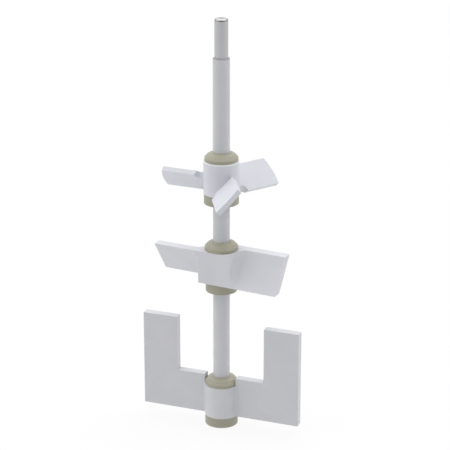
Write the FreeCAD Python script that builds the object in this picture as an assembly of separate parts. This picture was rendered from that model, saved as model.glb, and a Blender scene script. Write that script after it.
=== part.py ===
import FreeCAD, Part
import math
import os

from FreeCAD import Vector

# A laboratory stirrer shaft: a steel core in a white PTFE jacket, carrying a
# propeller, a paddle and an anchor. Each impeller is held by a beige clamp
# sleeve, whose collar sits under the hub, and by a clamp nut on top of it.
#
# Millimetres. +Z is up along the shaft. The origin is on the shaft's axis at
# the jacket's upper shoulder, where the bare steel drive end starts. The flat
# anchor lies in the XZ plane.

# Shaft
jacket_radius = 5.0
jacket_length = 230.0
jacket_chamfer = 0.4
jacket_end_wall = 3.0
core_radius = 3.5
drive_end_radius = 4.0
drive_end_length = 22.5
drive_end_chamfer = 0.7

# Heights of the three hubs' undersides above the shaft's lower end
anchor_station = 6.0
paddle_station = 93.1
propeller_station = 148.2

# Clamp sleeve, with its collar under the hub
running_gap = 0.05
hub_height = 20.0
sleeve_radius = 6.5
sleeve_rise = 2.2
collar_height = 6.0
anchor_collar_radius = 10.0
paddle_collar_radius = 9.5
propeller_collar_radius = 10.35
slot_width = 1.0
slot_length = 14.0
slot_count = 4

# Clamp nut: a plain band, a sloping shoulder, and a thin neck round the jacket
nut_radius = 9.95
nut_band_height = 2.0
nut_shoulder_radius = 8.2
nut_shoulder_height = 3.9
nut_neck_radius = 5.75
nut_height = 5.4
nut_lip_gap = 0.15

# Anchor: a flat U with a round hub, and room for the nut above the hub
anchor_width = 100.0
anchor_height = 60.0
anchor_thickness = 5.0
anchor_base_height = 25.0
anchor_arm_width = 22.0
anchor_hub_radius = 10.25
anchor_hub_fillet = 1.2
anchor_nut_recess_radius = 10.2

# Paddle: a square bar milled to a sloping blade on each side of its hub block
paddle_length = 80.0
paddle_side = 20.0
paddle_blade_thickness = 5.0
paddle_block_length = 21.0
paddle_corner_radius = 5.0
paddle_fillet_radius = 5.0
paddle_turn_degrees = -6.25

# Propeller: three flat pitched blades on a round hub
propeller_hub_radius = 10.6
blade_count = 3
blade_turn_degrees = 177.4
blade_width = 17.8
blade_thickness = 2.95
blade_pitch_degrees = 44.75
blade_centre_height = 6.0
blade_tip_radius = 37.4
blade_tip_offset = 4.0
root_cutter_radius = 3.0
root_cutter_turn_degrees = 34.0

lower_end = -jacket_length
bore_radius = sleeve_radius + running_gap
cut_margin = 10.0
nearly_nothing = 0.01
UP = Vector(0, 0, 1)


def turned(points):
    """Solid of revolution about Z from a closed outline of (radius, height) points."""
    outline = [Vector(radius, 0, height) for radius, height in points]
    face = Part.Face(Part.makePolygon(outline + outline[:1]))
    return face.revolve(Vector(0, 0, 0), UP, 360)


def box(x_range, y_range, z_range):
    """Box between two limits on each axis."""
    size = [high - low for low, high in (x_range, y_range, z_range)]
    corner = Vector(x_range[0], y_range[0], z_range[0])
    return Part.makeBox(size[0], size[1], size[2], corner)


def rod(radius, low, high, x=0.0, y=0.0):
    """Upright cylinder between two heights."""
    return Part.makeCylinder(radius, high - low, Vector(x, y, low))


def raised(shape, height):
    """The shape moved up by a height."""
    moved = shape.copy()
    moved.translate(Vector(0, 0, height))
    return moved


def spun(shape, degrees):
    """The shape turned about the shaft's axis."""
    turned_shape = shape.copy()
    turned_shape.rotate(Vector(0, 0, 0), UP, degrees)
    return turned_shape


def steel_core():
    """Steel rod inside the jacket, and its wider bare drive end on the jacket's shoulder."""
    foot = lower_end + jacket_end_wall
    top = drive_end_length
    return turned([
        (0, foot),
        (core_radius, foot),
        (core_radius, 0),
        (drive_end_radius, 0),
        (drive_end_radius, top - drive_end_chamfer),
        (drive_end_radius - drive_end_chamfer, top),
        (0, top),
    ])


def ptfe_jacket():
    """Jacket closed at its lower end, with a small chamfer at both ends."""
    bevelled_radius = jacket_radius - jacket_chamfer
    return turned([
        (0, lower_end),
        (bevelled_radius, lower_end),
        (jacket_radius, lower_end + jacket_chamfer),
        (jacket_radius, -jacket_chamfer),
        (bevelled_radius, 0),
        (core_radius, 0),
        (core_radius, lower_end + jacket_end_wall),
        (0, lower_end + jacket_end_wall),
    ])


def clamp_sleeve(collar_radius):
    """Slotted sleeve through the hub, with its collar below. Height 0 is the hub's underside."""
    inner = jacket_radius + running_gap
    top = hub_height + sleeve_rise
    sleeve = turned([
        (inner, -collar_height),
        (collar_radius, -collar_height),
        (collar_radius, 0),
        (sleeve_radius, 0),
        (sleeve_radius, top),
        (inner, top),
    ])
    slot = box((0, sleeve_radius + cut_margin), (-slot_width / 2, slot_width / 2),
               (top - slot_length, top + cut_margin))
    slots = [spun(slot, 360.0 * number / slot_count) for number in range(slot_count)]
    return sleeve.cut(slots)


def clamp_nut():
    """Round nut with a taper inside that closes the sleeve. Height 0 is the hub's top."""
    lip_radius = jacket_radius + nut_lip_gap
    taper_start = sleeve_rise + 2 * running_gap
    taper_end = taper_start + bore_radius - lip_radius
    return turned([
        (bore_radius, 0),
        (nut_radius, 0),
        (nut_radius, nut_band_height),
        (nut_shoulder_radius, nut_shoulder_height),
        (nut_neck_radius, nut_shoulder_height),
        (nut_neck_radius, nut_height),
        (lip_radius, nut_height),
        (lip_radius, taper_end),
        (bore_radius, taper_start),
    ])


def anchor():
    """Flat U-shaped anchor with a filleted round hub and a round recess for the nut."""
    half_width = anchor_width / 2
    half_thickness = anchor_thickness / 2
    gap_edge = half_width - anchor_arm_width
    thickness_range = (-half_thickness, half_thickness)

    plate = box((-half_width, half_width), thickness_range, (0, hub_height))
    hub = plate.fuse(rod(anchor_hub_radius, 0, hub_height)).removeSplitter()
    root_x = math.sqrt(anchor_hub_radius ** 2 - half_thickness ** 2)
    roots = [
        edge for edge in hub.Edges
        if abs(edge.BoundBox.ZLength - hub_height) < nearly_nothing
        and abs(abs(edge.CenterOfMass.x) - root_x) < nearly_nothing
    ]
    hub = hub.makeFillet(anchor_hub_fillet, roots)

    upper = box((-half_width, half_width), thickness_range, (hub_height, anchor_height))
    gap = box((-gap_edge, gap_edge), (-anchor_thickness, anchor_thickness),
              (anchor_base_height, anchor_height + cut_margin))
    recess = rod(anchor_nut_recess_radius, hub_height, anchor_height)
    upper = upper.cut([gap, recess])

    bore = rod(bore_radius, -cut_margin, hub_height + cut_margin)
    return hub.fuse(upper).removeSplitter().cut(bore)


def paddle():
    """Square bar with a sloping blade on each side, left by four milled pockets.

    Looking along the bar from its middle, each blade is the diagonal band of
    the square section, and the block between the blades keeps the full
    section. A round tool left the concave rounds at the blades' roots. It also
    rounded the two block corners that it went past over a blade.
    """
    half = paddle_side / 2
    side = paddle_side
    thickness = paddle_blade_thickness
    wall = paddle_block_length / 2
    corner = paddle_corner_radius
    reach = paddle_length / 2 + cut_margin
    far = 3 * side

    # Level width of the band where it meets the bar's top and bottom faces
    squared = side ** 2 - thickness ** 2
    band = (math.sqrt((thickness ** 2 * side) ** 2 + 2 * squared * (thickness * side) ** 2)
            - thickness ** 2 * side) / squared
    slope = math.degrees(math.atan2(side - band, side))

    # Space in front of the right blade's upper face
    over_blade = box((0, reach), (-far, 0), (-far, far))
    over_blade.rotate(Vector(0, 0, 0), Vector(1, 0, 0), -slope)
    over_blade.translate(Vector(0, half - band, side))

    # The block's plan, with its rounded front corner, and without
    corner_x = wall - corner
    corner_y = corner - half
    rounded_block = box((0, wall), (corner_y, far), (-far, far)).fuse([
        box((0, corner_x), (-half, far), (-far, far)),
        rod(corner, -far, far, corner_x, corner_y),
    ])
    square_block = box((0, wall), (-far, far), (-far, far))

    upper_pocket = over_blade.cut(rounded_block)
    lower_pocket = over_blade.cut(square_block)
    # End for end about the bar's cross axis, the space lies under the left blade
    lower_pocket.rotate(Vector(0, 0, half), Vector(0, 1, 0), 180)

    bar = box((-paddle_length / 2, paddle_length / 2), (-half, half), (0, side))
    for pocket in (upper_pocket, lower_pocket):
        bar = bar.cut([pocket, spun(pocket, 180)])
    bar = bar.removeSplitter()

    # A root is a sloping edge at the foot of the block's walls
    roots = [
        edge for edge in bar.Edges
        if abs(edge.CenterOfMass.x) < wall + nearly_nothing
        and min(edge.BoundBox.YLength, edge.BoundBox.ZLength) > nearly_nothing
    ]
    bar = bar.makeFillet(paddle_fillet_radius, roots)
    bar = bar.cut(rod(bore_radius, -cut_margin, side + cut_margin))
    return spun(bar, paddle_turn_degrees)


def propeller():
    """Round hub with three flat pitched blades, cut back beside the hub."""
    half_width = blade_width / 2

    def tip_reach(across):
        """Distance of the tip from the axis at a height across the blade's width."""
        return math.sqrt(blade_tip_radius ** 2 - (across + blade_tip_offset) ** 2)

    top_corner = Vector(tip_reach(half_width), 0, half_width)
    bottom_corner = Vector(tip_reach(-half_width), 0, -half_width)
    tip = Part.Arc(top_corner, Vector(tip_reach(0), 0, 0), bottom_corner).toShape()
    inner_top = Vector(0, 0, half_width)
    inner_bottom = Vector(0, 0, -half_width)
    sides = [
        Part.makeLine(inner_bottom, inner_top),
        Part.makeLine(inner_top, top_corner),
        Part.makeLine(bottom_corner, inner_bottom),
    ]
    outline = Part.Wire(Part.__sortEdges__(sides + [tip]))
    blade = Part.Face(outline).extrude(Vector(0, blade_thickness, 0))
    blade.translate(Vector(0, -blade_thickness / 2, 0))
    blade.rotate(Vector(0, 0, 0), Vector(1, 0, 0), -blade_pitch_degrees)
    blade = raised(blade, blade_centre_height)

    low = -cut_margin
    high = hub_height + cut_margin
    step = 360.0 / blade_count
    turns = [blade_turn_degrees + step * number for number in range(blade_count)]
    blades = [spun(blade, turn) for turn in turns]

    # Between the blades a cutter ran round the hub, and left its round at each root
    ring_outer = propeller_hub_radius + 2 * root_cutter_radius
    ring_turn = step - 2 * root_cutter_turn_degrees
    sector = Part.makeCylinder(ring_outer, high - low, Vector(0, 0, low), UP, ring_turn)
    sector = spun(sector, root_cutter_turn_degrees)
    centre = propeller_hub_radius + root_cutter_radius
    path = [sector]
    for angle in (root_cutter_turn_degrees, step - root_cutter_turn_degrees):
        path.append(spun(rod(root_cutter_radius, low, high, centre), angle))
    path = [spun(tool, turn) for tool in path for turn in turns]

    under_hub = rod(propeller_hub_radius, low, 0)
    bladed = blades[0].fuse(blades[1:]).cut(path + [under_hub])
    hub = rod(propeller_hub_radius, 0, hub_height)
    bore = rod(bore_radius, low, high)
    return bladed.fuse(hub).removeSplitter().cut(bore)


def clamped(name, impeller, station, collar_radius):
    """An impeller with its sleeve and nut, at its place on the shaft."""
    foot = lower_end + station
    return {
        name: raised(impeller, foot),
        name + "_clamp_sleeve": raised(clamp_sleeve(collar_radius), foot),
        name + "_clamp_nut": raised(clamp_nut(), foot + hub_height),
    }


parts = {"steel_core": steel_core(), "ptfe_jacket": ptfe_jacket()}
parts.update(clamped("anchor", anchor(), anchor_station, anchor_collar_radius))
parts.update(clamped("paddle", paddle(), paddle_station, paddle_collar_radius))
parts.update(clamped("propeller", propeller(), propeller_station, propeller_collar_radius))

os.makedirs("parts", exist_ok=True)
for name, shape in parts.items():
    solid = shape.Solids[0]
    solid.exportStep("parts/" + name + ".step")
    limits = solid.BoundBox
    print("%-24s valid %s solids %d volume %9.1f mm3  z %7.2f to %7.2f" % (
        name, shape.isValid(), len(shape.Solids), solid.Volume, limits.ZMin, limits.ZMax))
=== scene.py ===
# %% [markdown]
# A PTFE stirrer shaft in a light tent
#
# The object is a laboratory stirrer: a steel rod in a white PTFE jacket that carries a propeller,
# a paddle and a flat anchor. A beige collar and a cone-topped nut hold each of them. The packed
# model already has every piece at its true size and place, in metres. This lesson makes the
# turned pieces and the paddle anew with finer forms, gives every piece its eased edges and its
# finish, and then photographs them on a pale floor.

# %% Load the frame
import math

import bpy
import numpy as np
from mathutils import Matrix, Vector


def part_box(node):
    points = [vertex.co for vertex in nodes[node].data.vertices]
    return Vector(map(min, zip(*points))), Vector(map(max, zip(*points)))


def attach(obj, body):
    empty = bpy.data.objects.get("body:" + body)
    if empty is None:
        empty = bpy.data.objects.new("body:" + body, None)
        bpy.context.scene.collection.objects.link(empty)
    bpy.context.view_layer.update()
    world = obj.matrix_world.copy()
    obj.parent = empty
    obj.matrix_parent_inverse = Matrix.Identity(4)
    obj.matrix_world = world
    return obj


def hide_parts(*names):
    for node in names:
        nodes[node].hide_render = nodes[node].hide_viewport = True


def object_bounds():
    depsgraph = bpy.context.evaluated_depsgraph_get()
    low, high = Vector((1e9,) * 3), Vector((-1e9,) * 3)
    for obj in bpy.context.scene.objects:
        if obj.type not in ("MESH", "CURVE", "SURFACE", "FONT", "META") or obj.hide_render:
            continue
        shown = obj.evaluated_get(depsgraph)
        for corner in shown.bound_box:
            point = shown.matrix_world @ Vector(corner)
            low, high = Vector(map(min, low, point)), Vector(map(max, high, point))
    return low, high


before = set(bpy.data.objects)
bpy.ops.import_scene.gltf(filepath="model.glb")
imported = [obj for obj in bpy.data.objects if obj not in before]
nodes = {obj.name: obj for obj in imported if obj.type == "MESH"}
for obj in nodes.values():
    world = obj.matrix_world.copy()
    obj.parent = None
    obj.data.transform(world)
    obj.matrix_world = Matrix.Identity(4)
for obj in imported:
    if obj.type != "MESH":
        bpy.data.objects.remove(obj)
cad_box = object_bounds()
MM = 0.001

print("pieces:", ", ".join(sorted(nodes)))
print("size in mm:", [round((high - low) / MM, 2) for low, high in zip(*cad_box)])

# %% [markdown]
# Turned pieces as surfaces of two parameters
#
# The rod, the jacket and the nuts are turned on a lathe. Such a piece is a profile, drawn as
# radius against height, carried round the axis. It could be made with the Screw modifier, or
# with Spin, but worked out directly it is one formula for the whole grid of points, with no
# seam to merge. On a real lathe no edge stays knife-sharp, so each corner of the profile first
# gets a small round. That round is what catches a thin line of light.


# %% Ease the corners of a profile
nearly_nothing = 1e-12


def eased(corners, round_radii, steps=6, closed=True):
    """Profile points with each corner replaced by an arc that touches both of its sides.

    At a corner with half-angle h between its sides, an arc of radius r touches them at a
    distance r / tan h from the corner, and its centre is r / sin h away along the bisector.
    A corner on a straight line has no bisector, so it takes a radius of zero and stays.
    """
    corner = np.array(corners, float)
    radius = np.array(round_radii, float)
    before = np.roll(corner, 1, axis=0) - corner
    after = np.roll(corner, -1, axis=0) - corner
    before /= np.linalg.norm(before, axis=1, keepdims=True)
    after /= np.linalg.norm(after, axis=1, keepdims=True)
    half = np.arccos(np.clip((before * after).sum(axis=1), -1, 1)) / 2
    middle = before + after
    length = np.linalg.norm(middle, axis=1, keepdims=True)
    middle /= np.maximum(length, nearly_nothing)
    centre = corner + middle * (radius / np.sin(half))[:, None]
    reach = (radius / np.tan(half))[:, None]
    first = corner + before * reach - centre
    last = corner + after * reach - centre
    start = np.arctan2(first[:, 1], first[:, 0])
    sweep = np.arctan2(last[:, 1], last[:, 0]) - start
    sweep = (sweep + np.pi) % (2 * np.pi) - np.pi
    angle = start[:, None] + sweep[:, None] * np.linspace(0, 1, steps)
    arc = centre[:, None] + radius[:, None, None] * np.stack([np.cos(angle), np.sin(angle)], axis=2)
    keep = np.ones((len(corner), steps), bool)
    keep[radius == 0, 1:] = False
    arc[radius == 0, 0] = corner[radius == 0]
    if not closed:
        keep[[0, -1]] = False
        keep[[0, -1], 0] = True
        arc[[0, -1], 0] = corner[[0, -1]]
    return arc[keep]


square = eased([(0, 0), (1, 0), (1, 1), (0, 1)], [0.2] * 4)
print("a square with eased corners has", len(square), "points")


# %% Carry a profile round the axis
def add_mesh(name, vertices, faces):
    """A mesh object at the origin from points and from lists of faces of three or four corners."""
    loops = np.concatenate([part.ravel() for part in faces])
    totals = np.concatenate([np.full(len(part), part.shape[1]) for part in faces])
    starts = np.concatenate([[0], np.cumsum(totals)[:-1]])
    mesh = bpy.data.meshes.new(name)
    mesh.vertices.add(len(vertices))
    mesh.vertices.foreach_set("co", vertices.astype(np.float32).ravel())
    mesh.loops.add(len(loops))
    mesh.loops.foreach_set("vertex_index", loops.astype(np.int32))
    mesh.polygons.add(len(totals))
    mesh.polygons.foreach_set("loop_start", starts.astype(np.int32))
    mesh.polygons.foreach_set("use_smooth", np.ones(len(totals), bool))
    mesh.update(calc_edges=True)
    mesh.validate()
    piece = bpy.data.objects.new(name, mesh)
    bpy.context.scene.collection.objects.link(piece)
    return piece


def keep_flats_flat(piece):
    """Shades each point by the larger faces round it, so a small round can't tilt a long straight."""
    normals = piece.modifiers.new("flat_faces", "WEIGHTED_NORMAL")
    normals.weight = 100


def turned(name, profile, closed=True, around=128):
    """A turned piece: the point at profile step i and angle a is (r_i cos a, r_i sin a, z_i).

    A closed profile makes a ring. An open one starts and ends on the axis, where all its
    points meet in one, so a fan of triangles closes each end.
    """
    rows = profile if closed else profile[1:-1]
    angle = np.linspace(0, 2 * np.pi, around, endpoint=False)
    radius = rows[:, :1]
    height = np.broadcast_to(rows[:, 1:], (len(rows), around))
    points = np.stack([radius * np.cos(angle), radius * np.sin(angle), height], axis=2)
    number = np.arange(len(rows) * around).reshape(len(rows), around)
    onward = np.roll(number, -1, axis=1)
    bands = len(rows) if closed else len(rows) - 1
    upper = np.roll(number, -1, axis=0)[:bands]
    upper_onward = np.roll(onward, -1, axis=0)[:bands]
    quads = np.stack([number[:bands], onward[:bands], upper_onward, upper], axis=2).reshape(-1, 4)
    vertices = points.reshape(-1, 3)
    faces = [quads]
    if not closed:
        low_pole = len(vertices)
        high_pole = low_pole + 1
        vertices = np.vstack([vertices, [0, 0, profile[0, 1]], [0, 0, profile[-1, 1]]])
        foot = np.stack([np.full(around, low_pole), onward[0], number[0]], axis=1)
        head = np.stack([np.full(around, high_pole), number[-1], onward[-1]], axis=1)
        faces += [foot, head]
    piece = add_mesh(name, vertices, faces)
    keep_flats_flat(piece)
    return piece


def enclosed_volume(piece):
    """Volume in cubic millimetres: the sum over triangles of a . (b x c) / 6, negative if inside out."""
    mesh = piece.data
    mesh.calc_loop_triangles()
    points = np.zeros(len(mesh.vertices) * 3)
    mesh.vertices.foreach_get("co", points)
    corners = np.zeros(len(mesh.loop_triangles) * 3, np.int32)
    mesh.loop_triangles.foreach_get("vertices", corners)
    a, b, c = points.reshape(-1, 3)[corners].reshape(-1, 3, 3).transpose(1, 0, 2)
    return float((a * np.cross(b, c)).sum() / 6 / MM ** 3)


print("lathe ready: it turns a profile into a mesh")

# %% [markdown]
# The steel core
#
# Only the drive end of the core shows: a short length of ground steel above the jacket. The rest
# runs hidden inside it. The end has a round edge that guides it into the stirrer's chuck, and a
# slight crown. The crown could be part of a sphere, but with so small a rise a parabola looks the
# same and is shorter to write: it adds h metres at the axis and h (1 - (r / R)^2) at radius r.
# The profile goes from the axis at the foot to the axis at the top, running up its outside.

# %% Turn the steel core
core_low, core_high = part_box("steel_core")
core_radius = 3.5 * MM
drive_radius = core_high.x
drive_edge_round = 1.15 * MM
drive_crown = 0.3 * MM

core_corners = [
    (0, core_low.z),
    (core_radius, core_low.z),
    (core_radius, 0),
    (drive_radius, 0),
    (drive_radius, core_high.z),
]
crown_shares = (0.6, 0.45, 0.3, 0.15, 0)
core_corners += [(share * drive_radius, core_high.z) for share in crown_shares]
core_rounds = [0] * 4 + [drive_edge_round] + [0] * len(crown_shares)
core_profile = eased(core_corners, core_rounds, steps=12, closed=False)
crowned = core_profile[:, 1] > core_high.z - drive_edge_round
across = core_profile[crowned, 0] / drive_radius
core_profile[crowned, 1] += drive_crown * (1 - across ** 2)
core = turned("ground_steel_core", core_profile, closed=False)
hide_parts("steel_core")
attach(core, "shaft")
print("steel core, mm3:", round(enclosed_volume(core)))

# %% [markdown]
# The PTFE jacket
#
# The jacket is a thick white tube, closed at its lower end. Its upper shoulder, where the steel
# comes out, is bevelled almost down to the steel, and the rim of the closed end has a small
# bevel. A Boolean could cut the bore out of a cylinder, but one open profile, up the outside and
# down the bore, makes the whole wall in one go.

# %% Turn the jacket
jacket_low, jacket_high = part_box("ptfe_jacket")
jacket_radius = jacket_high.x
jacket_rim_bevel = 0.4 * MM
jacket_end_bevel = 0.85 * MM
jacket_end_wall = 3.0 * MM
jacket_easing = 0.12 * MM

jacket_corners = [
    (0, jacket_low.z),
    (jacket_radius - jacket_rim_bevel, jacket_low.z),
    (jacket_radius, jacket_low.z + jacket_rim_bevel),
    (jacket_radius, jacket_high.z - jacket_end_bevel),
    (jacket_radius - jacket_end_bevel, jacket_high.z),
    (core_radius, jacket_high.z),
    (core_radius, jacket_low.z + jacket_end_wall),
    (0, jacket_low.z + jacket_end_wall),
]
jacket_rounds = [0] + [jacket_easing] * 4 + [0] * 3
jacket = turned("white_ptfe_jacket", eased(jacket_corners, jacket_rounds, closed=False), closed=False)
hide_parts("ptfe_jacket")
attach(jacket, "shaft")
print("jacket, mm3:", round(enclosed_volume(jacket)))

# %% [markdown]
# The clamp nuts
#
# Each nut is a plain band, a shoulder that slopes in at about 45 degrees to a gently sloping
# ring, and a thin neck that guides it on the jacket. Inside, above a straight bore, a taper
# closes the slotted sleeve onto the jacket. All three nuts are alike. They could be linked
# copies of one mesh, but here a piece's place is in its mesh, so a loop turns the same profile
# on top of each hub. The outer edges are eased a little more than the white pieces' edges,
# because this harder plastic is handled each time an impeller is moved.

# %% Turn the three nuts
nut_band_height = 2.0 * MM
nut_shoulder_radius = 8.2 * MM
nut_shoulder_height = 3.9 * MM
nut_ring_radius = 6.1 * MM
nut_ring_height = 4.5 * MM
nut_neck_radius = 5.35 * MM
nut_bore_radius = 6.55 * MM
nut_lip_radius = 5.05 * MM
nut_taper_start = 2.3 * MM
nut_taper_end = nut_taper_start + nut_bore_radius - nut_lip_radius
nut_rounds = np.array([0, 0.2, 0.3, 0.3, 0.15, 0.15, 0.1, 0, 0]) * MM
impellers = ["anchor", "paddle", "propeller"]
nuts = []

for impeller in impellers:
    low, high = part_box(impeller + "_clamp_nut")
    nut_radius = high.x
    corners = [
        (nut_bore_radius, low.z),
        (nut_radius, low.z),
        (nut_radius, low.z + nut_band_height),
        (nut_shoulder_radius, low.z + nut_shoulder_height),
        (nut_ring_radius, low.z + nut_ring_height),
        (nut_neck_radius, high.z),
        (nut_lip_radius, high.z),
        (nut_lip_radius, low.z + nut_taper_end),
        (nut_bore_radius, low.z + nut_taper_start),
    ]
    nut = turned(impeller + "_cone_nut", eased(corners, nut_rounds))
    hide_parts(impeller + "_clamp_nut")
    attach(nut, impeller + "_nut")
    nuts.append(nut)
    print(nut.name, "mm3:", round(enclosed_volume(nut)))

# %% [markdown]
# The paddle
#
# The paddle is one square bar. Seen from its end, each blade is the leaning band between two
# opposite corners of the square, so the square's side s and the blade's thickness t set its lean
# a: cos a - sin a = t / s. Four passes of a form cutter took away the rest. Each pass ran along
# that lean, so every section of the bar is the square with at most two corners cut off parallel
# to the blade. Only the depth of the cut changes along the bar. It runs out through a cove at
# the blade's root, and over a blade the cutter also rolled off the block's corner. Boolean
# cutters could take the same passes, but sections are plain numbers that can be checked: first
# how much each pass leaves at each x, then ten points round each section. The two halves of the
# bar are the same half, turned half round.

# %% Work out how deep each pass cuts
paddle_low, paddle_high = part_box("paddle")
bar_half_length = 40.0 * MM
bar_side = 20.0 * MM
bar_half = bar_side / 2
block_half_length = 10.5 * MM
blade_thickness = 5.0 * MM
cutter_round = 5.0 * MM
sleeve_hole = 6.55 * MM

# The lean in degrees, to a thousandth, as a mill's tilting table is set
exact_lean = math.degrees(math.acos(blade_thickness / bar_side / math.sqrt(2))) - 45
blade_lean = math.radians(round(exact_lean, 3))
uncut = bar_side * math.sin(blade_lean)

# The block's wall is this wide along x, because no two stations may share one x
wall_draft = 0.01 * MM

# Stations nearer to each other than a nanometre count as one
station_digits = 9

quarter = np.linspace(0, np.pi / 2, 13)
fine_quarter = np.linspace(0, np.pi / 2, 25)
cove_x = block_half_length + cutter_round * (1 - np.sin(quarter))
cove_left = cutter_round * (1 - np.cos(quarter))
corner_start = block_half_length - cutter_round
corner_x = corner_start + cutter_round * np.cos(quarter)
hole_x = sleeve_hole * np.cos(fine_quarter)
block_x = np.unique(np.round(np.concatenate([corner_x, hole_x]), station_digits))[::-1]
past_corner = np.clip(block_x - corner_start, 0, None)
corner_height = np.sqrt(np.clip(cutter_round ** 2 - past_corner ** 2, 0, None))
corner_left = uncut - cutter_round + corner_height
block_x[0] -= wall_draft

station = np.concatenate([[bar_half_length], cove_x, block_x])
left_above = np.concatenate([[0], cove_left, corner_left])
left_below = np.concatenate([[0], cove_left, np.full(len(block_x), uncut)])
print("stations along half the bar:", len(station))


# %% Draw the sections and join them
def bar_sections(x, above, below):
    """Ten points round the bar's section at each x, indexed by x, then point, then axis.

    The cut over the blade leaves a distance a from the blade's plane. It meets the front face
    at z = a / sin(lean), and the top face a / cos(lean) in front of the blade. The cut under
    the blade is the same turned half round. The sleeve's hole of radius R splits the top and
    bottom faces at y = +-sqrt(R^2 - x^2), and past it their two inner points are one.
    """
    blade_top = bar_side * math.tan(blade_lean) - bar_half
    front_z = above / math.sin(blade_lean)
    top_y = blade_top - above / math.cos(blade_lean)
    back_z = bar_side - below / math.sin(blade_lean)
    bottom_y = below / math.cos(blade_lean) - blade_top
    in_hole = x <= sleeve_hole
    chord = np.sqrt(np.clip(sleeve_hole ** 2 - x ** 2, 0, None))
    top_middle = np.where(in_hole, 0, (top_y + bar_half) / 2)
    bottom_middle = np.where(in_hole, 0, (bottom_y - bar_half) / 2)
    low = np.zeros_like(x)
    high = low + bar_side
    front = low - bar_half
    back = low + bar_half
    y = [front, front, top_y, top_middle - chord, top_middle + chord]
    y += [back, back, bottom_y, bottom_middle + chord, bottom_middle - chord]
    z = [low, front_z, high, high, high, high, back_z, low, low, low]
    return np.array([[x] * len(y), y, z]).transpose(2, 1, 0)


half_bar = bar_sections(station, left_above, left_below)
half_points = half_bar.reshape(-1, 3)
number = np.arange(len(half_points)).reshape(half_bar.shape[:2])
first_in_hole = int(np.argmax(station <= sleeve_hole))
outer_sides = [(0, 1), (1, 2), (2, 3), (4, 5), (5, 6), (6, 7), (7, 8), (9, 0)]
hole_walls = [(3, 9), (8, 4)]
end_face = [(0, 9, 3, 2), (9, 7, 5, 3)]


def strip(one, other, first):
    """Quads between two of the sections' points, from one station to the bar's middle."""
    here = number[first:-1]
    onward = number[first + 1:]
    return np.stack([here[:, one], here[:, other], onward[:, other], onward[:, one]], axis=1)


strips = [strip(one, other, 0) for one, other in outer_sides]
strips += [strip(one, other, first_in_hole) for one, other in hole_walls]
half_faces = np.concatenate(strips + [number[0][end_face]])
bar_points = np.vstack([half_points, half_points * (-1, -1, 1)])
bar_faces = np.vstack([half_faces, half_faces + len(half_points)])

paddle_turn = math.radians(-6.25)
spin = np.array([
    [math.cos(paddle_turn), math.sin(paddle_turn), 0],
    [-math.sin(paddle_turn), math.cos(paddle_turn), 0],
    [0, 0, 1],
])
bar_points = bar_points @ spin + (0, 0, paddle_low.z)
paddle = add_mesh("milled_paddle", bar_points, [bar_faces])
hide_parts("paddle")
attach(paddle, "paddle_impeller")
reach = np.abs(bar_points).max(axis=0) / MM
print("paddle, mm3:", round(enclosed_volume(paddle)), "reach in mm:", np.round(reach, 3))
print("the model's paddle reaches:", [round(value / MM, 3) for value in paddle_high])

# %% [markdown]
# Eased edges on the milled pieces
#
# The anchor, the propeller and the slotted sleeves keep their meshes from the model, because
# their shapes are right. Their edges could be rounded by hand, but modifiers do it without
# touching the mesh, and the paddle takes the same ones. Weld joins loose faces, Decimate clears
# the lines inside flat faces, Bevel rounds what is left that is sharp, and Weighted Normal keeps
# flats flat. Where some edges are very short, Bevel holds its width back on the whole piece, so
# that no two rounds overlap.

# %% Add the edge modifiers
milled_easing = 0.15 * MM
sleeve_easing = 0.3 * MM
join_distance = 0.002 * MM
flat_angle = math.radians(0.5)
sharp_angle = math.radians(30)


def ease_edges(piece, width):
    """Rounds every edge that turns by more than the sharp angle, in two steps."""
    piece.data.polygons.foreach_set("use_smooth", np.ones(len(piece.data.polygons), bool))
    weld = piece.modifiers.new("join_faces", "WELD")
    weld.merge_threshold = join_distance
    flats = piece.modifiers.new("clear_flats", "DECIMATE")
    flats.decimate_type = "DISSOLVE"
    flats.angle_limit = flat_angle
    bevel = piece.modifiers.new("ease_edges", "BEVEL")
    bevel.width = width
    bevel.segments = 2
    bevel.limit_method = "ANGLE"
    bevel.angle_limit = sharp_angle
    keep_flats_flat(piece)


for piece in (nodes["anchor"], paddle, nodes["propeller"]):
    ease_edges(piece, milled_easing)
for impeller in impellers:
    ease_edges(nodes[impeller + "_clamp_sleeve"], sleeve_easing)
print("modifiers on the anchor:", [modifier.name for modifier in nodes["anchor"].modifiers])

# %% [markdown]
# Building finishes from nodes
#
# A finish could be wired by hand in the Shader Editor, but code gives the same wiring to many
# materials. All finishes are worked out from Object coordinates, which are true metres on every
# piece, so one scale value means the same grain size everywhere. A small builder keeps the node
# code short: it adds a node, sets its plain values, and links its inputs.


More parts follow.
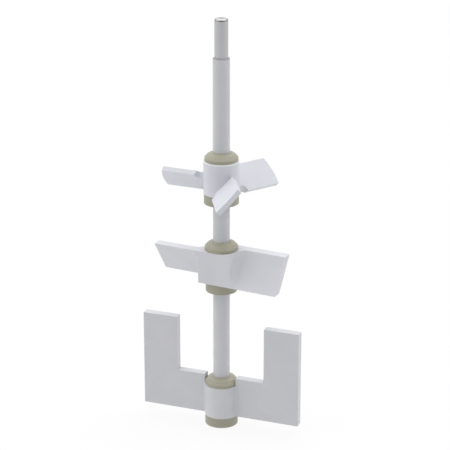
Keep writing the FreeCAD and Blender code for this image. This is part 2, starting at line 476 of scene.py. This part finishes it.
# %% A small node builder
class Finish:
    """A material with its Principled shader, and a short way to add and link nodes."""

    def __init__(self, name):
        self.material = bpy.data.materials.new(name)
        self.material.use_nodes = True
        self.tree = self.material.node_tree
        self.shader = self.tree.nodes["Principled BSDF"]
        self.place = self.add("ShaderNodeTexCoord").outputs["Object"]

    def add(self, kind, values=(), links=(), **settings):
        """A new node with its settings, its plain input values and its links."""
        node = self.tree.nodes.new(kind)
        for key, value in settings.items():
            setattr(node, key, value)
        for key, value in dict(values).items():
            node.inputs[key].default_value = value
        for key, source in dict(links).items():
            self.tree.links.new(source, node.inputs[key])
        return node

    def stretched(self, scale):
        """Object coordinates with each axis scaled by its own value."""
        node = self.add("ShaderNodeMapping", {"Scale": scale}, {"Vector": self.place})
        return node.outputs["Vector"]

    def noise(self, scale, detail=2.0, source=None):
        """Noise from 0 to 1, with features about 1 / scale metres across."""
        links = {"Vector": source or self.place}
        return self.add("ShaderNodeTexNoise", {"Scale": scale, "Detail": detail}, links).outputs["Fac"]

    def spread(self, source, low, high):
        """The middle of a noise, from 0.3 to 0.7, mapped to a range of values."""
        values = {"From Min": 0.3, "From Max": 0.7, "To Min": low, "To Max": high}
        return self.add("ShaderNodeMapRange", values, {"Value": source}).outputs["Result"]

    def blend(self, factor, one, other):
        """A colour between two, by a factor. Each is three plain values or another colour output."""
        node = self.add("ShaderNodeMix", data_type="RGBA")
        colours = [socket for socket in node.inputs if socket.type == "RGBA"]
        for socket, colour in zip(colours, (one, other)):
            if isinstance(colour, tuple):
                socket.default_value = (*colour, 1)
            else:
                self.tree.links.new(colour, socket)
        self.tree.links.new(factor, node.inputs["Factor"])
        return next(socket for socket in node.outputs if socket.type == "RGBA")

    def overlay(self, factor, colour):
        """Lays a colour over the base colour where the factor is one."""
        under = self.shader.inputs["Base Color"].links[0].from_socket
        self.link(Base_Color=self.blend(factor, under, colour))

    def bump(self, height, strength, distance, under=None):
        """A bump from a height, on top of another bump if one is given."""
        links = {"Height": height}
        if under is not None:
            links["Normal"] = under
        values = {"Strength": strength, "Distance": distance}
        return self.add("ShaderNodeBump", values, links).outputs["Normal"]

    def set(self, **values):
        """Plain values on the shader's own sockets."""
        for key, value in values.items():
            self.shader.inputs[key.replace("_", " ")].default_value = value

    def link(self, **sources):
        """Links into the shader's sockets."""
        for key, source in sources.items():
            self.tree.links.new(source, self.shader.inputs[key.replace("_", " ")])


print("node builder ready")

# %% [markdown]
# White PTFE
#
# PTFE is a waxy, slightly bluish white. It has low gloss, a faint cloudiness where the sintered
# grain shows through, and marks from the tool that cut it. Its whiteness differs from stock to
# stock: the drawn jacket is the greyest here, and the propeller the whitest. The cloudiness is a
# mix of two near whites by a slow noise. The tool marks are bumps: fine lines along the drawn
# jacket, level passes on the milled pieces, and rings on the faced propeller. A Wave texture
# could draw them too, but its lines are too even, so they come from a noise stretched along the
# cut.

# %% Mix the white PTFE
jacket_white = np.array([0.580, 0.586, 0.607])
anchor_white = np.array([0.606, 0.613, 0.636])
paddle_white = np.array([0.641, 0.646, 0.686])
propeller_white = np.array([0.652, 0.664, 0.712])
cloudiness = 0.02
cloud_scale = 90.0
ptfe_grain_scale = 2600.0
cut_depth = 0.02 * MM
grain_depth = 0.01 * MM

# How far the noise is squeezed along x, y and z: lengthwise drawing, level milling, facing rings
drawn = (1500, 1500, 12)
milled = (120, 120, 2600)
faced = (40, 40, 5200)


def white_ptfe(name, white, cut_scale, cut_strength):
    """Waxy white plastic with tool marks from a noise stretched by cut_scale."""
    finish = Finish(name)
    cloud = finish.noise(cloud_scale, 3.0)
    shade = tuple(white * (1 - cloudiness))
    light = tuple(white * (1 + cloudiness))
    colour = finish.blend(finish.spread(cloud, 0.0, 1.0), shade, light)
    cuts = finish.noise(1.0, 2.0, finish.stretched(cut_scale))
    grain = finish.noise(ptfe_grain_scale, 2.0)
    marks = finish.bump(cuts, cut_strength, cut_depth)
    skin = finish.bump(grain, 0.15, grain_depth, marks)
    finish.link(Base_Color=colour, Roughness=finish.spread(cuts, 0.42, 0.52), Normal=skin)
    finish.set(IOR=1.38, Subsurface_Weight=0.06, Subsurface_Scale=1.2 * MM)
    return finish


jacket_finish = white_ptfe("ptfe_drawn_jacket", jacket_white, drawn, 0.25)
anchor_finish = white_ptfe("ptfe_milled_anchor", anchor_white, milled, 0.4)
paddle_finish = white_ptfe("ptfe_milled_paddle", paddle_white, milled, 0.4)
propeller_finish = white_ptfe("ptfe_turned_propeller", propeller_white, faced, 0.35)
white_finishes = [jacket_finish, anchor_finish, paddle_finish, propeller_finish]
print("white finishes:", ", ".join(finish.material.name for finish in white_finishes))

# %% [markdown]
# Beige clamp plastic
#
# The collars and nuts are a hard, grey-beige engineering plastic. It is a little glossier than
# PTFE, with a fine speckle and clear turning rings. The collars look a shade darker than the
# nuts. They could have two colours of their own, but one depth that multiplies the nuts'
# colours keeps both the same plastic.

# %% Mix the beige plastic
beige_light = (0.378, 0.364, 0.279)
beige_shade = (0.334, 0.322, 0.246)
speckle_scale = 1400.0
turned_rings = (40, 40, 4200)
collar_depth = 0.95


def beige_plastic(name, depth):
    """Speckled beige plastic with turning rings, its two colours multiplied by depth."""
    finish = Finish(name)
    speckle = finish.noise(speckle_scale, 3.0)
    dark = tuple(depth * value for value in beige_shade)
    light = tuple(depth * value for value in beige_light)
    colour = finish.blend(finish.spread(speckle, 0.0, 1.0), dark, light)
    rings = finish.noise(1.0, 1.0, finish.stretched(turned_rings))
    marks = finish.bump(rings, 0.35, cut_depth)
    skin = finish.bump(speckle, 0.2, grain_depth, marks)
    finish.link(Base_Color=colour, Roughness=finish.spread(rings, 0.36, 0.46), Normal=skin)
    finish.set(IOR=1.5)
    return finish


nut_finish = beige_plastic("nut_beige", 1.0)
collar_finish = beige_plastic("collar_beige", collar_depth)
print("beige finishes:", nut_finish.material.name, "and", collar_finish.material.name)

# %% [markdown]
# Ground steel
#
# The drive end is centreless-ground steel: bare metal with very fine lines that run round it.
# A metal takes its look from what it reflects. A matt ground face spreads that over a wide
# angle, so the roughness is high. The end was turned, so it is smoother and reflects the tent's
# patches one by one: the crown shows the dim back, and the round edge the bright top and then
# the dark opening. Colour is painted on the end as well: the whole end is a painted shade darker
# than the ground side, and a ring on the crown, from 1.6 to 3.3 mm out from the axis, is a
# painted highlight, with the painted shade again inside it. Each of these could be a material on
# its own faces, but masks on the height and on the distance from the axis need no cuts in the
# mesh, and their edges can be soft.

# %% Mix the ground steel
steel_light = (0.57, 0.573, 0.588)
steel_shade = (0.515, 0.517, 0.532)
# A painted shade for the whole turned end, and a painted highlight for a ring on its crown between the
# two radii that follow
steel_painted_shade = (0.36, 0.362, 0.37)
steel_painted_highlight = (0.62, 0.622, 0.632)
highlight_ring = (1.6 * MM, 3.3 * MM)
ring_blur = 0.15 * MM
edge_start = core_high.z - drive_edge_round
edge_blur = 0.06 * MM
ground_rings = (60, 60, 9000)
ground_depth = 0.006 * MM
ground_roughness = 0.52
turned_roughness = 0.15


def above(finish, height, soft):
    """One above a height, zero below it, with a soft edge."""
    split = finish.add("ShaderNodeSeparateXYZ", links={0: finish.place})
    values = {"From Min": height - soft, "From Max": height + soft}
    return finish.add("ShaderNodeMapRange", values, {"Value": split.outputs["Z"]}).outputs["Result"]


def near_axis(finish, radius, soft):
    """One nearer to the shaft's axis than a radius, where the length of (x, y, 0) is under it."""
    flat = finish.stretched((1, 1, 0))
    length = finish.add("ShaderNodeVectorMath", links={0: flat}, operation="LENGTH").outputs["Value"]
    values = {"From Min": radius - soft, "From Max": radius + soft, "To Min": 1.0, "To Max": 0.0}
    return finish.add("ShaderNodeMapRange", values, {"Value": length}).outputs["Result"]


steel_finish = Finish("ground_steel")
lines = steel_finish.noise(1.0, 3.0, steel_finish.stretched(ground_rings))
ground_tone = steel_finish.blend(steel_finish.spread(lines, 0.0, 1.0), steel_shade, steel_light)
steel_finish.link(Base_Color=ground_tone)
at_end = above(steel_finish, edge_start, edge_blur)
in_highlight_ring = near_axis(steel_finish, highlight_ring[1], ring_blur)
inside_highlight_ring = near_axis(steel_finish, highlight_ring[0], ring_blur)
# Painted shade over the whole end, a painted highlight on the ring, and the painted shade again inside
# the ring
steel_finish.overlay(at_end, steel_painted_shade)
steel_finish.overlay(in_highlight_ring, steel_painted_highlight)
steel_finish.overlay(inside_highlight_ring, steel_painted_shade)
steel_finish.link(Roughness=steel_finish.spread(at_end, ground_roughness, turned_roughness))
steel_finish.link(Normal=steel_finish.bump(lines, 0.2, ground_depth))
steel_finish.set(Metallic=1.0)
print("steel finish:", steel_finish.material.name)

# %% [markdown]
# A painted dark rim and a painted light one
#
# Where the steel comes out, the end of the jacket is painted a shade darker. This painted shade
# stands for the contact shadow at the joint, so the joint shows as a thin dark line.
# The propeller's hub has the opposite: a painted highlight on its upper rim, a light line under
# the nut, where a rounded rim would catch the light from above. Both are painted tones and not
# shapes, so neither is a ring of geometry: a mask on the height lays each one over the piece's
# finish.

# %% Paint shade on the jacket's upper end and a highlight on the hub's rim
# A painted shade for the contact shadow where the steel leaves the jacket
jacket_end_painted_shade = (0.33, 0.33, 0.335)
# A painted highlight for the hub's upper rim
hub_rim_painted_highlight = (0.81, 0.82, 0.86)
hub_rim_depth = 0.75 * MM
rim_blur = 0.08 * MM

# Lay the painted shade over the jacket's bevelled end
at_jacket_end = above(jacket_finish, jacket_high.z - jacket_end_bevel, rim_blur)
jacket_finish.overlay(at_jacket_end, jacket_end_painted_shade)
hub_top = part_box("propeller")[1].z
# Lay the painted highlight over the hub's upper rim
at_hub_rim = above(propeller_finish, hub_top - hub_rim_depth, rim_blur)
propeller_finish.overlay(at_hub_rim, hub_rim_painted_highlight)
print("jacket end shaded over mm:", round(jacket_end_bevel / MM, 2))
print("hub rim brightened over mm:", round(hub_rim_depth / MM, 2))

# %% [markdown]
# Dressing the pieces
#
# Each piece takes one finish. The model's own pieces come with plain materials, so their slots
# are emptied first. A piece made here has no material yet, and takes its finish the same way.

# %% Dress every piece
dressing = {
    core: steel_finish,
    jacket: jacket_finish,
    nodes["anchor"]: anchor_finish,
    paddle: paddle_finish,
    nodes["propeller"]: propeller_finish,
}
dressing.update({nut: nut_finish for nut in nuts})
dressing.update({nodes[impeller + "_clamp_sleeve"]: collar_finish for impeller in impellers})
for piece, finish in dressing.items():
    piece.data.materials.clear()
    piece.data.materials.append(finish.material)
print("dressed pieces:", len(dressing))

# %% [markdown]
# The camera
#
# The view is a long-lens view from a little to the right and from above. These numbers were
# fitted to edges of the real picture: where the camera stands, how far it looks down, and how
# long the lens is. The camera looks almost, but not quite, at the shaft's axis. A Track To
# constraint aimed at the axis would miss that, so the camera's three axes are worked out from
# its angles.

# %% Place the camera
camera_distance = 990.32 * MM
camera_height = 252.84 * MM
camera_azimuth = math.radians(20.935)
camera_yaw = math.radians(-0.122)
camera_pitch = math.radians(19.712)
frame_pixels = 450
focal_pixels = 1780
sensor_width = 36.0
nearest = 0.05
farthest = 50.0

heading = camera_azimuth + camera_yaw
right = Vector((math.cos(heading), math.sin(heading), 0))
back = Vector((
    math.sin(heading) * math.cos(camera_pitch),
    -math.cos(heading) * math.cos(camera_pitch),
    math.sin(camera_pitch),
))
up = back.cross(right)
camera_data = bpy.data.cameras.new("camera")
camera_data.sensor_width = sensor_width
camera_data.lens = sensor_width * focal_pixels / frame_pixels
camera_data.clip_start = nearest
camera_data.clip_end = farthest
camera = bpy.data.objects.new("camera", camera_data)
axes = Matrix((right, up, back)).transposed()
spot = Vector((
    camera_distance * math.sin(camera_azimuth),
    -camera_distance * math.cos(camera_azimuth),
    camera_height,
))
camera.matrix_world = Matrix.Translation(spot) @ axes.to_4x4()
bpy.context.scene.collection.objects.link(camera)
bpy.context.scene.camera = camera
print("lens in mm:", round(camera_data.lens, 1))

# %% [markdown]
# The light tent
#
# The picture has no hard shadow and no lamp glare: the object hangs in a light tent. Area lamps
# could light it, but each would show in the steel as a patch with hard edges. So the tent is a
# sky of soft patches of light. Each patch is brightest in its own direction and fades with the
# cosine of the angle from it, raised to a power that sets how wide it is. The patches'
# directions are counted from the camera, which stands in the tent's dim opening. That opening
# is why every face turned to the viewer looks a shade darker.

# %% Hang the tent
patch_power = 4.0

# Degrees round from the camera, degrees up, and strength
patches = {
    "front": (0, 0, 0.14),
    "back_right": (120, 0, 0.46),
    "back": (180, 0, 0.57),
    "back_left": (240, 0, 0.87),
    "front_left": (300, 0, 0.34),
    "right_upper": (90, 45, 1.69),
    "back_upper": (180, 45, 1.03),
    "left_upper": (270, 45, 1.55),
    "top": (0, 90, 1.68),
}

world = bpy.data.worlds.new("light_tent")
bpy.context.scene.world = world
world.use_nodes = True
tree = world.node_tree
tree.nodes.clear()


def maths(operation, one, other):
    """The output of a math step in the world's tree. Each input is a number or an output."""
    node = tree.nodes.new("ShaderNodeMath")
    node.operation = operation
    for number, value in enumerate((one, other)):
        if isinstance(value, float):
            node.inputs[number].default_value = value
        else:
            tree.links.new(value, node.inputs[number])
    return node.outputs[0]


direction = tree.nodes.new("ShaderNodeTexCoord").outputs["Generated"]
brightness = None
for name, (azimuth, elevation, strength) in patches.items():
    bearing = camera_azimuth + math.radians(azimuth)
    rise = math.radians(elevation)
    cosine = tree.nodes.new("ShaderNodeVectorMath")
    cosine.operation = "DOT_PRODUCT"
    cosine.inputs[1].default_value = (
        math.sin(bearing) * math.cos(rise),
        -math.cos(bearing) * math.cos(rise),
        math.sin(rise),
    )
    tree.links.new(direction, cosine.inputs[0])
    facing = maths("MAXIMUM", cosine.outputs["Value"], 0.0)
    glow = maths("MULTIPLY", maths("POWER", facing, patch_power), float(strength))
    glow.node.label = name
    brightness = glow if brightness is None else maths("ADD", brightness, glow)
background = tree.nodes.new("ShaderNodeBackground")
tree.links.new(brightness, background.inputs["Strength"])
output = tree.nodes.new("ShaderNodeOutputWorld")
tree.links.new(background.outputs[0], output.inputs[0])
print("tent patches:", ", ".join(patches))

# %% [markdown]
# The floor
#
# The floor is a wide pale sheet just under the shaft's lower end. A sheet that only reflects
# would take too dark a shadow. So most of its brightness is a glow of its own, as in a backdrop
# lit from behind, and only the rest is plain reflection, which leaves a faint shadow under the
# object.

# %% Lay the floor
floor_half = 6.0
floor_gap = 0.3 * MM
floor_level = cad_box[0].z - floor_gap
floor_glow = 0.88
floor_reflection = 0.09
floor_mottling = 0.03
mottling_scale = 6.0

grid = np.linspace(-floor_half, floor_half, 9)
floor_x, floor_y = np.meshgrid(grid, grid)
floor_z = np.full_like(floor_x, floor_level)
floor_points = np.stack([floor_x, floor_y, floor_z], axis=2).reshape(-1, 3)
crossing = np.arange(floor_x.size).reshape(floor_x.shape)
low_edge, high_edge = crossing[:-1], crossing[1:]
floor_quads = np.stack([low_edge[:, :-1], low_edge[:, 1:], high_edge[:, 1:], high_edge[:, :-1]], axis=2)
floor = add_mesh("floor", floor_points, [floor_quads.reshape(-1, 4)])
paper = Finish("pale_floor")
pale = (floor_reflection,) * 3
dull = (floor_reflection * (1 - floor_mottling),) * 3
mottling = paper.spread(paper.noise(mottling_scale), 0.0, 1.0)
paper.link(Base_Color=paper.blend(mottling, dull, pale))
paper.set(Roughness=0.9, Specular_IOR_Level=0.0, Emission_Strength=floor_glow)
paper.set(Emission_Color=(1, 1, 1, 1))
floor.data.materials.append(paper.material)
bpy.context.scene.view_settings.view_transform = "Standard"
print("floor level in mm:", round(floor_level / MM, 2))
